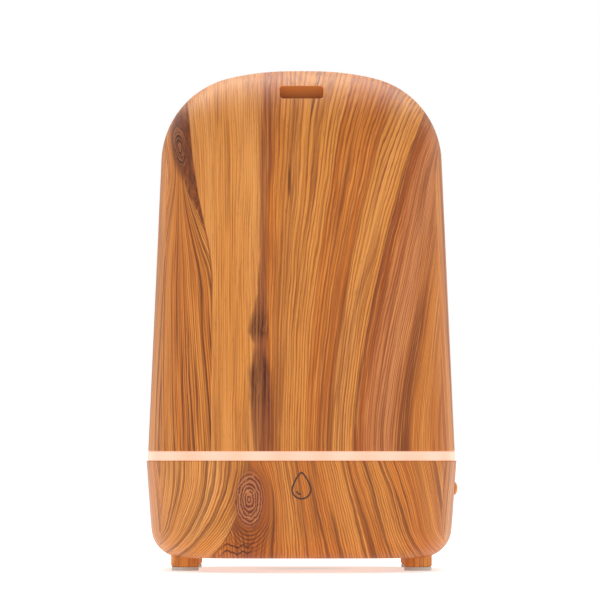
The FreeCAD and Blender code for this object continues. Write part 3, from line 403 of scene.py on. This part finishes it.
def cover_layout(wood):
    """Bend the cover's lines. Gives the distance along the fanned lines, where they are, the
    edge of the left board, and where that board is."""
    c = wood.c
    z = wood.z
    # right of the dark streak the lines fan out towards the top
    rise = wood.math("MAXIMUM", (z - COVER_LOW) / FAN_HEIGHT, 0.0)
    facing = wood.step(UPRIGHT_C, CORNER_C, abs(c))
    fan = (c - STREAK_C) / (1 + 0.83 * facing * rise ** 1.7)
    right = wood.math("GREATER_THAN", fan, 0.0)
    # the left board's lines fan out downwards from under a knot
    gather = 1 - 0.84 * wood.step(*GATHER_Z, z)
    away = c - FAN_FROM_C + 0.09 * (wood.math("MINIMUM", z, LEAN_TO_Z) - LEAN_TO_Z)
    spread = away / gather
    # beyond the knot they loosen until they stand upright on the side
    loose = wood.math("MINIMUM", away, wood.math("MAXIMUM", spread, away * 0.35 - 35))
    lean = wood.choose(wood.math("GREATER_THAN", away, 0.0), loose, spread)
    edge = LEFT_EDGE_C - LEFT_EDGE_SHIFT * wood.step(*LEFT_EDGE_Z, z)
    plank = wood.math("LESS_THAN", c + wood.wobble, edge)
    across = wood.choose(right, c + 40, fan + 27)
    across = wood.choose(plank, across, lean * 0.85 + 90)
    wood.follow(wood.upright_sides(across, 240))
    return fan, right, edge, plank


def lay_cover_tones(wood, fan, plank):
    band = fan + wood.sway * 0.35 + wood.wobble
    figure = wood.tones(band, COVER_SPAN, COVER_TONES)
    # a group of dark lines low on the right
    group = wood.bump_of(band + (wood.lines - 0.5) * 3, LINE_GROUP_AT, 2.6, 0.7)
    group = group * (0.3 + 0.7 * wood.step(100.0, 80.0, wood.z))
    dark = wood.mix(wood.step(0.38, 0.58, wood.fine), DARK, BROWN)
    figure = wood.mix(group * 0.75, figure, dark)
    left = wood.mix(wood.step(0.3, 0.7, wood.broad), LIGHT, GOLD)
    wood.colour = wood.mix(wood.step(-1.6, 1.4, fan), left, figure)
    wood.lay(plank, wood.mix(wood.step(0.35, 0.65, wood.broad), GOLD, MID))
    wood.lay_side_bands()


def lay_cover_lines(wood, right, plank):
    """Growth lines: bold on the left board, faint between it and the dark streak."""
    strong = wood.choose(plank, wood.choose(right, 0.45, 0.9), 1.0)
    wood.lay(wood.close_lines(3.0) * strong * 0.72, BROWN)
    bold = wood.bold_lines(wood.choose(plank, 3.4, 1.9), 21.0) * strong
    wood.lay(bold * wood.choose(plank, 0.6, 0.85), wood.mix(plank, BROWN, DARK))
    wood.lay_rows((
        (wood.lines, 0.47, 0.34, strong * wood.choose(plank, 0.28, 0.5), BROWN),
        (wood.fine, 0.50, 0.34, 0.45, BROWN),
        (wood.fine, 0.54, 0.70, 0.45, LIGHT),
        (wood.pores, 0.62, 0.74, 0.35, BROWN)))


def lay_streak(wood):
    """The dark streak left of the middle, and a thin brown line beside it low down."""
    c = wood.c
    where, wide, deep = wood.table(wood.z, *STREAK_Z, STREAK_ROWS)
    middle = where * 20 - 20
    reach = wide * 6
    ragged = wood.drift(0.5, 0.11, 41.0, 5.0, detail=3.0)
    streak = wood.fall(0.55, 1.05, abs(c + ragged * 0.4 - middle) / reach) * wood.front * deep
    place = wood.vector((c + ragged) * 1.7, wood.z * 0.09, 51.0)
    curl = wood.noise(place, detail=2.0, roughness=0.6)
    core = wood.step(0.82, 0.98, deep) * wood.step(0.60, 0.44, curl)
    wood.lay(streak * (0.72 + 0.28 * wood.step(0.56, 0.42, wood.fine)),
             wood.mix(core, srgb(118, 58, 36), DARK))
    brink = wood.bump_of(c + wood.wobble * 1.6, -9.6, 0.5, 0.6)
    wood.lay(brink * wood.fall(52.0, 72.0, wood.z) * wood.front * 0.6, BROWN)


def lay_cover_knot(wood, edge, plank):
    """The crisp edge of the left board, the dark stain beside it, and the knot."""
    z = wood.z
    front = wood.front
    rim = wood.bump_of(wood.c + wood.wobble, edge, 0.35) * wood.step(60.0, 96.0, z) * front
    wood.lay(rim * 0.7, BROWN)
    # the stain fills the room between the knot and the edge, and runs down to a point
    blot = wood.noise(wood.vector(wood.c * 0.5, z * 0.22, 71.0), detail=3.0, roughness=0.65)
    span = wood.math("MAXIMUM", STAIN_WIDTH * wood.step(110.0, 138.0, z), 0.1)
    stain = wood.step(1.0, 0.7, (edge - wood.c + (blot - 0.5) * 4) / span) * plank
    stain = stain * wood.step(108.0, 118.0, z) * wood.step(160.0, 150.0, z) * front
    wood.lay(stain * 0.86, wood.mix(wood.step(0.40, 0.60, blot), DARK, BROWN))

    knot = wood.reach_of(COVER_KNOT, COVER_KNOT_HALF)
    rings = wood.noise(wood.vector(knot * 5.5, z * 0.03, 2.0), detail=2.0, roughness=0.6)
    ringed = wood.mix(wood.step(0.42, 0.66, rings), srgb(70, 28, 16), srgb(150, 84, 48))
    ringed = wood.mix(wood.step(0.60, 0.72, wood.pores) * 0.6, ringed, MID)
    halo = wood.fall(1.0, 1.7, knot + (wood.lines - 0.5) * 0.8) * front
    wood.lay(halo * 0.8, wood.mix(wood.step(0.4, 0.6, wood.fine), DARK, BROWN))
    pale = wood.math("FRACT", knot * 4.5 + (blot - 0.5) * 1.6)
    pale = wood.step(0.70, 0.84, pale) * wood.fall(0.88, 0.98, pale)
    pale = pale * wood.step(0.42, 0.62, wood.pores)
    heart = wood.fall(0.85, 1.15, knot + (wood.fine - 0.5) * 0.3) * front
    wood.lay(heart * 0.95, wood.mix(pale * 0.8, ringed, LIGHT))


def lay_slot(wood):
    """A short dark spindle, the thin seam that runs up through the mist slot, and the slot's
    own walls, with painted shade that darkens them lower down in the slot. Gives where those
    walls are."""
    c = wood.c
    z = wood.z
    spindle = 0.8 * wood.bump_of(c, SPINDLE[0], 0.5) * wood.bump_of(z, SPINDLE[1], 4.5, 0.6)
    seam = wood.bump_of(c - (z - 150) * 0.2 + wood.wobble * 0.4, 3.0, 0.28)
    seam = seam * wood.step(146.0, 156.0, z)
    wood.lay(wood.math("MAXIMUM", spindle * wood.front, seam * wood.front) * 0.75, DARK)

    hole = wood.bump_of(wood.x, 0.0, SLOT_HALF[0], 0.01)
    hole = hole * wood.bump_of(wood.y, SLOT_Y, SLOT_HALF[1], 0.02)
    hole = hole * wood.math("GREATER_THAN", z, SLOT_LOW)
    # painted shade: the slot's walls go from their own wood tone at the top to near black lower
    # down, as shade in the recess
    depth = wood.step(*SLOT_SHADE_Z, z)
    wood.lay(hole, wood.mix(depth, srgb(108, 46, 12), srgb(206, 112, 42)))
    return hole


def cover_wood():
    wood = Wood("cover_wood_print")
    wood.measure(wood.fall(*DOME_Z, wood.z))
    wood.sway = wood.drift(0.06, 0.022, wood.y * 0.01, 2.2)
    wood.wobble = wood.drift(0.5, 0.07, 3.0, 0.5)
    fan, right, edge, plank = cover_layout(wood)
    lay_cover_tones(wood, fan, plank)
    lay_cover_lines(wood, right, plank)
    lay_streak(wood)
    lay_cover_knot(wood, edge, plank)
    hole = lay_slot(wood)
    wood.finish_casing(wood.inside_of((0.0, 0.0, 0.06)) * (1 - hole))
    return wood.material


def base_layout(wood, knot):
    """Bend the base's lines. Gives the distance along the main lines, the edge of the left
    board, and where that board is."""
    c = wood.c
    drop = BASE_TOP - wood.z
    facing = wood.step(UPRIGHT_C, CORNER_C, abs(c))
    fan = (c - BASE_FAN_C) / (1 + 0.0068 * facing * drop)
    # the lines bend round the knot
    main = fan - (c - BASE_KNOT[0]) / wood.math("MAXIMUM", knot ** 2, 1.0)
    edge = BASE_EDGE_C - 0.0122 * drop ** 2
    bend = 0.0165 * facing * drop ** 2
    plank = wood.fall(edge - 0.3, edge + 0.3, c + wood.wobble)
    across = wood.choose(plank, main + 12, (c + bend) * 0.8 + 150)
    wood.follow(wood.upright_sides(across, 340))
    return main, edge, plank


def lay_base_knot(wood, knot, edge):
    """The knot where the two boards meet, with rings and waves that hang below it."""
    c = wood.c
    z = wood.z
    front = wood.front
    loops = wood.math("FRACT", knot * 7.0 + wood.wobble * 0.6)
    loops = wood.step(0.35, 0.8, loops) * wood.fall(0.86, 1.0, loops)
    below = wood.fall(1.2, 2.4, knot) * wood.fall(12.0, 22.0, z + (wood.lines - 0.5) * 6)
    wood.lay(below * front * loops * 0.85, DARK)
    halo = wood.fall(0.9, 1.6, knot + (wood.lines - 0.5) * 0.8) * front
    wood.lay(halo * 0.4, BROWN)

    rings = wood.noise(wood.vector(knot * 6.0, z * 0.04, 4.0),
                       detail=2.0, roughness=0.6, distortion=0.3)
    curl = wood.noise(wood.vector(c * 0.8, z * 0.55, 61.0),
                      detail=3.0, roughness=0.65, distortion=0.6)
    turns = wood.math("FRACT", knot * 6.5 + (curl - 0.5) * 1.5 + (rings - 0.5) * 0.8)
    turns = wood.step(0.25, 0.55, turns) * wood.fall(0.80, 1.0, turns)
    ringed = wood.mix(turns, srgb(186, 114, 72), srgb(104, 48, 30))
    ringed = wood.mix(wood.step(0.60, 0.74, wood.pores) * 0.5, ringed, LIGHT)
    heart = wood.fall(0.75, 1.1, knot + (wood.fine - 0.5) * 0.35) * front
    wood.lay(heart * 0.9, ringed)

    waves = z + (wood.noise(wood.vector(c * 0.35, 0.0, 0.0), detail=0.0) - 0.5) * 5
    low = wood.math("MAXIMUM", wood.bump_of(waves, WAVES_Z[0], 0.35),
                    wood.bump_of(waves, WAVES_Z[1], 0.3))
    wood.lay(low * wood.bump_of(c, *WAVES_C) * front * 0.8, DARK)
    brink = wood.bump_of(c + wood.wobble, edge, 0.3) * (1 - heart) * front
    wood.lay(brink * 0.6, BROWN)


def base_wood():
    wood = Wood("base_wood_print")
    wood.measure(wood.step(*BASE_TURN_Z, wood.z))
    wood.sway = wood.drift(0.07, 0.05, wood.y * 0.01 + 5, 1.6)
    wood.wobble = wood.drift(0.5, 0.16, 9.0, 0.6)
    knot = wood.reach_of(BASE_KNOT, BASE_KNOT_HALF)
    main, edge, plank = base_layout(wood, knot)

    figure = wood.tones(main + wood.sway * 0.4, BASE_SPAN, BASE_TONES)
    left = wood.mix(wood.step(0.35, 0.65, wood.broad), LIGHT, GOLD)
    wood.colour = wood.mix(plank, figure, left)
    wood.lay_side_bands()
    wood.lay(wood.close_lines(13.0) * 0.68, BROWN)
    wood.lay(wood.bold_lines(2.8, 27.0) * 0.62, DARK)
    wood.lay_rows((
        (wood.lines, 0.47, 0.34, 0.3, BROWN),
        (wood.fine, 0.50, 0.36, 0.45, BROWN),
        (wood.fine, 0.55, 0.72, 0.35, LIGHT),
        (wood.pores, 0.62, 0.74, 0.35, BROWN)))
    lay_base_knot(wood, knot, edge)
    wood.finish_casing(wood.inside_of((0.0, 0.0, 0.02)))
    return wood.material


def small_wood(name, offset):
    """The same print on a small piece: a few growth lines and pores."""
    wood = Wood(name)
    x, y, z = wood.x, wood.y, wood.z
    shift = wood.noise(wood.vector(x * 0.2, y * 0.2, z * 0.1), detail=1.0) - 0.5
    wood.follow(x + y * 0.35 + shift * 2 + offset)
    wood.colour = wood.ramp(wood.broad, [(0.3, MID), (0.5, GOLD), (0.7, LIGHT)])
    wood.lay_rows((
        (wood.lines, 0.50, 0.38, 0.5, BROWN),
        (wood.fine, 0.50, 0.36, 0.4, DEEP),
        (wood.fine, 0.55, 0.72, 0.3, LIGHT),
        (wood.pores, 0.62, 0.74, 0.35, BROWN)))
    wood.finish(0.0, MID)
    return wood.material


# ---- plain materials ---------------------------------------------------------------------
def moulded(name, dark, light, roughness, scale=700.0, relief=0.00003, **more):
    """Moulded plastic or rubber: fine speckle, slow mottling and a sparked texture."""
    g = Graph(name)
    place = g.coord.outputs["Object"]
    speckle = g.noise(place, scale=scale, detail=3.0, roughness=0.6)
    mottle = g.noise(place, scale=60.0, detail=2.0)
    g.put(g.shader.inputs["Base Color"], g.mix(speckle * 0.6 + mottle * 0.4, dark, light))
    g.set(Roughness=roughness + speckle * 0.12, **more)
    g.relief(speckle, 0.25, relief)
    return g.material


def brushed(name, dark, light, roughness):
    """Metal with fine draw lines and slight tarnish."""
    g = Graph(name)
    x, y, z = g.place_mm()
    lines = g.noise(g.vector(x * 9.0, y * 9.0, z * 0.8), detail=2.0)
    tarnish = g.noise(g.coord.outputs["Object"], scale=220.0, detail=3.0)
    g.put(g.shader.inputs["Base Color"], g.mix(tarnish, dark, light))
    g.set(Metallic=1.0, Roughness=roughness + lines * 0.15)
    g.relief(lines, 0.15, 0.00001)
    return g.material


def board(name, dark, light):
    """Printed board: glossy lacquer over a woven glass base with faint tracks."""
    g = Graph(name)
    x, y, _ = g.place_mm()
    weave = g.math("SINE", x * 9.0) * g.math("SINE", y * 9.0) * 0.5 + 0.5
    tracks = g.node("ShaderNodeTexVoronoi", distance="MANHATTAN", feature="DISTANCE_TO_EDGE")
    tracks.inputs["Scale"].default_value = 330.0
    g.tree.links.new(g.coord.outputs["Object"], tracks.inputs["Vector"])
    line = g.step(0.05, 0.02, Wire(g, tracks.outputs["Distance"]))
    colour = g.mix(weave * 0.5, dark, light)
    g.put(g.shader.inputs["Base Color"], g.mix(line * 0.6, colour, light))
    g.set(Roughness=0.3 + weave * 0.15)
    g.relief(line * 0.7 + weave * 0.3, 0.2, 0.00002)
    return g.material


def lead_cover(name, dark, light):
    """Soft wire covering: faint ribs from the die and rubbed patches."""
    g = Graph(name)
    rub = g.noise(g.coord.outputs["Object"], scale=260.0, detail=3.0)
    ribs = g.noise(g.coord.outputs["Object"], scale=2400.0, detail=1.0)
    g.put(g.shader.inputs["Base Color"], g.mix(rub, dark, light))
    g.set(Roughness=0.38 + ribs * 0.15)
    g.relief(ribs, 0.3, 0.00002)
    return g.material


def lit(name, low, high, strength, spots):
    """Opal light guide: the lamps behind it show as slightly brighter stretches."""
    g = Graph(name)
    x, y, _ = g.place_mm()
    turn = g.math("ARCTAN2", y, x)
    pulse = g.math("COSINE", turn * spots) * 0.5 + 0.5
    cloud = g.noise(g.coord.outputs["Object"], scale=90.0, detail=2.0)
    colour = g.mix(pulse * 0.55 + cloud * 0.45, low, high)
    g.put(g.shader.inputs["Base Color"], g.mix(cloud, srgb(120, 104, 96), srgb(136, 120, 112)))
    g.put(g.shader.inputs["Emission Color"], colour)
    g.shader.inputs["Emission Strength"].default_value = strength
    g.set(Roughness=0.42 + cloud * 0.1)
    return g.material


PLASTIC_ROWS = (
    ("frosted_plastic", (212, 215, 213), (226, 228, 226), 0.42,
     {"Subsurface_Weight": 0.2, "Subsurface_Scale": 0.004}),
    ("tank_plastic", (200, 204, 205), (214, 218, 218), 0.30,
     {"Subsurface_Weight": 0.15, "Subsurface_Scale": 0.004}),
    ("silicone", (196, 198, 198), (214, 216, 214), 0.5, {"relief": 0.00002}),
    ("foot_rubber", (186, 182, 176), (212, 208, 202), 0.6, {"scale": 1200.0}),
    ("underside_plastic", (196, 132, 82), (210, 148, 96), 0.44, {"scale": 1400.0}),
    ("black_plastic", (24, 24, 26), (40, 40, 42), 0.45, {"scale": 1400.0}),
    ("fan_plastic", (30, 30, 33), (48, 48, 52), 0.36, {"scale": 1100.0}),
    ("duct_plastic", (206, 207, 204), (222, 223, 220), 0.4, {}),
    ("chip_black", (22, 22, 23), (36, 36, 38), 0.5, {"scale": 2600.0}),
    ("socket_plastic", (222, 216, 198), (238, 233, 218), 0.36, {"scale": 1500.0}),
    ("switch_plunger", (92, 46, 28), (122, 64, 40), 0.4, {"scale": 1500.0}),
    ("jack_plastic", (20, 20, 22), (36, 36, 38), 0.35, {"scale": 1400.0}),
    ("inductor", (62, 58, 54), (96, 88, 80), 0.6, {"scale": 1800.0, "relief": 0.00008}),
    ("capacitor", (28, 34, 62), (44, 52, 88), 0.3, {"scale": 900.0}),
)
METAL_ROWS = (
    ("heat_sink", (150, 152, 156), (196, 198, 202), 0.38),
    ("transducer_steel", (186, 184, 178), (222, 220, 214), 0.22),
    ("plated_metal", (186, 186, 188), (226, 226, 228), 0.2),
    ("screw_steel", (120, 120, 124), (180, 180, 184), 0.3),
)
BOARD_ROWS = (
    ("white_board", (214, 214, 208), (236, 236, 230)),
    ("green_board", (18, 78, 44), (34, 112, 64)),
)
LEAD_ROWS = (
    ("fan_lead", (28, 28, 30), (52, 52, 56)),
    ("power_lead", (150, 26, 24), (188, 48, 42)),
    ("led_lead", (206, 204, 198), (228, 226, 220)),
    ("button_lead", (36, 74, 146), (60, 104, 180)),
    ("transducer_lead", (196, 156, 36), (222, 186, 64)),
)
LAMPS_IN_RING = 24.0

finishes = {
    "cover_wood_print": cover_wood(),
    "base_wood_print": base_wood(),
    "foot_wood_print": small_wood("foot_wood_print", 40),
    "button_wood_print": small_wood("button_wood_print", 11),
    "light_ring": lit("light_ring", srgb(255, 188, 150), srgb(255, 208, 180), 0.86, LAMPS_IN_RING),
    "led_lamp": lit("led_lamp", srgb(255, 214, 160), srgb(255, 240, 220), 1.4, 2.0),
}
for name, dark, light, roughness, more in PLASTIC_ROWS:
    finishes[name] = moulded(name, srgb(*dark), srgb(*light), roughness, **more)
for name, dark, light, roughness in METAL_ROWS:
    finishes[name] = brushed(name, srgb(*dark), srgb(*light), roughness)
for name, dark, light in BOARD_ROWS:
    finishes[name] = board(name, srgb(*dark), srgb(*light))
for name, dark, light in LEAD_ROWS:
    finishes[name] = lead_cover(name, srgb(*dark), srgb(*light))

for name, node in nodes.items():
    finish = finishes[slot_of[name]]
    if not node.data.materials:
        node.data.materials.append(finish)
    for slot in node.material_slots:
        slot.material = finish

# ---- water-drop outline printed on the front of the base ---------------------------------
# In millimetres: the belly's radius, the tip above the belly's middle, that middle's height,
# the glint inside, and half the line's width.
DROP_ROUND = 3.1
DROP_TIP = 5.6
DROP_Z = 27.4
GLINT_RADIUS = 1.7
GLINT_DEGREES = (200, 265)
LINE_HALF = 0.26
# In metres: how far the ink stands off the casing, and how far off the rays start.
PROUD = 0.00004
RAY_START = 0.02


def add(name, data):
    made = bpy.data.objects.new(name, data)
    bpy.context.scene.collection.objects.link(made)
    return made


def drop_points(count=72):
    """The outline of a falling drop: a round belly that narrows to a tip."""
    points = []
    for i in range(count):
        turn = 2 * math.pi * i / count
        lift = math.sin(turn)
        if lift > 0:
            pinch = math.cos(turn) * (1 - lift) ** 0.35
            points.append((DROP_ROUND * pinch, DROP_TIP * lift))
        else:
            points.append((DROP_ROUND * math.cos(turn), DROP_ROUND * lift))
    return points


def arc_points(radius, start, end, count=16):
    points = []
    for i in range(count):
        turn = math.radians(start + (end - start) / (count - 1) * i)
        points.append((radius * math.cos(turn), radius * math.sin(turn)))
    return points


def printed_line(name, strokes, centre_z):
    """Thin printed strokes (points in millimetres, closed or not) on the casing's front."""
    skin = BVHTree.FromObject(nodes["base_housing"], bpy.context.evaluated_depsgraph_get())
    front_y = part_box("base_housing")[0].y - RAY_START
    verts = []
    faces = []
    for points, closed in strokes:
        first = len(verts)
        count = len(points)
        for i, (x, z) in enumerate(points):
            ahead = points[(i + 1) % count] if closed or i + 1 < count else points[i]
            behind = points[i - 1] if closed or i else points[i]
            run = Vector((ahead[0] - behind[0], ahead[1] - behind[1])).normalized()
            for side in (-LINE_HALF, LINE_HALF):
                start = Vector((x - run.y * side, 0, z + run.x * side + centre_z)) / MM_PER_M
                start.y = front_y
                hit = skin.ray_cast(start, Vector((0, 1, 0)))[0]
                verts.append((start.x, hit.y - PROUD, start.z))
        for i in range(count if closed else count - 1):
            a = first + 2 * i
            b = first + 2 * ((i + 1) % count)
            faces.append((a, a + 1, b + 1, b))
    mesh = bpy.data.meshes.new(name)
    mesh.from_pydata(verts, [], faces)
    return add(name, mesh)


drop_strokes = [(drop_points(), True), (arc_points(GLINT_RADIUS, *GLINT_DEGREES), False)]
drop_mark = printed_line("drop_mark", drop_strokes, DROP_Z)
mark_ink = moulded("mark_ink", srgb(52, 30, 22), srgb(74, 44, 32), 0.5, scale=1500.0)
drop_mark.data.materials.append(mark_ink)
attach(drop_mark, "root")

# ---- stage, light and camera --------------------------------------------------------------
WHITE = (1.0, 1.0, 1.0, 1.0)
FLOOR_HALF = 30.0
FLOOR_GAP = 0.0001
FLOOR_GLOW = 0.5
ROOM_LIGHT = 0.62
ROOM_SEEN = 1.0
SENSOR_MM = 36.0
LENS_MM = 270.0
CAMERA_PLACE = Vector((-0.0005, -1.53, 0.038))
CAMERA_AIM = Vector((-0.0005, 0.0, 0.0914))
# Name, place, width, depth and power; all are aimed at the middle of the object.
SOFTBOXES = (
    ("top_box", (0.0, 0.30, 0.80), 1.0, 0.8, 6.5),
    ("left_box", (-0.9, -0.5, 0.35), 0.5, 0.9, 0.5),
    ("right_box", (0.9, -0.4, 0.35), 0.5, 0.9, 0.4),
)

low, high = cad_box
middle = (low + high) / 2


def turned_to(place, aim):
    """The turn of a lamp or camera that looks from its place at its aim."""
    return (aim - place).to_track_quat("-Z", "Y").to_euler()


floor_mesh = bpy.data.meshes.new("floor")
corners = [(x * FLOOR_HALF, y * FLOOR_HALF, 0) for x, y in ((-1, -1), (1, -1), (1, 1), (-1, 1))]
floor_mesh.from_pydata(corners, [], [(0, 1, 2, 3)])
floor = add("floor", floor_mesh)
floor.location.z = low.z - FLOOR_GAP
paint = Graph("floor_white")
tone = paint.noise(paint.coord.outputs["Object"], scale=3.0, detail=2.0)
paint.put(paint.shader.inputs["Base Color"],
          paint.mix(tone, srgb(246, 246, 246), srgb(250, 250, 250)))
paint.set(Emission_Color=WHITE, Emission_Strength=FLOOR_GLOW)
paint.set(Roughness=0.85 + tone * 0.1, Specular_IOR_Level=0.1)
floor_mesh.materials.append(paint.material)

# The room lights the object softly, and the camera sees it as plain white.
world = bpy.data.worlds.new("studio")
bpy.context.scene.world = world
world.use_nodes = True
tree = world.node_tree
both = tree.nodes.new("ShaderNodeMixShader")
seen = tree.nodes.new("ShaderNodeLightPath")
tree.links.new(seen.outputs["Is Camera Ray"], both.inputs[0])
backdrops = (tree.nodes["Background"], tree.nodes.new("ShaderNodeBackground"))
for backdrop, strength, socket in zip(backdrops, (ROOM_LIGHT, ROOM_SEEN), both.inputs[1:]):
    backdrop.inputs["Color"].default_value = WHITE
    backdrop.inputs["Strength"].default_value = strength
    tree.links.new(backdrop.outputs[0], socket)
tree.links.new(both.outputs[0], tree.nodes["World Output"].inputs[0])

for name, place, width, depth, power in SOFTBOXES:
    lamp = bpy.data.lights.new(name, "AREA")
    lamp.shape = "RECTANGLE"
    lamp.size = width
    lamp.size_y = depth
    lamp.energy = power
    softbox = add(name, lamp)
    softbox.location = place
    softbox.rotation_euler = turned_to(Vector(place), middle)

camera_data = bpy.data.cameras.new("camera")
camera_data.sensor_width = SENSOR_MM
camera_data.lens = LENS_MM
camera = add("camera", camera_data)
camera.location = CAMERA_PLACE
camera.rotation_euler = turned_to(CAMERA_PLACE, CAMERA_AIM)
bpy.context.scene.camera = camera
bpy.context.scene.view_settings.view_transform = "Standard"
bpy.context.scene.view_settings.look = "None"
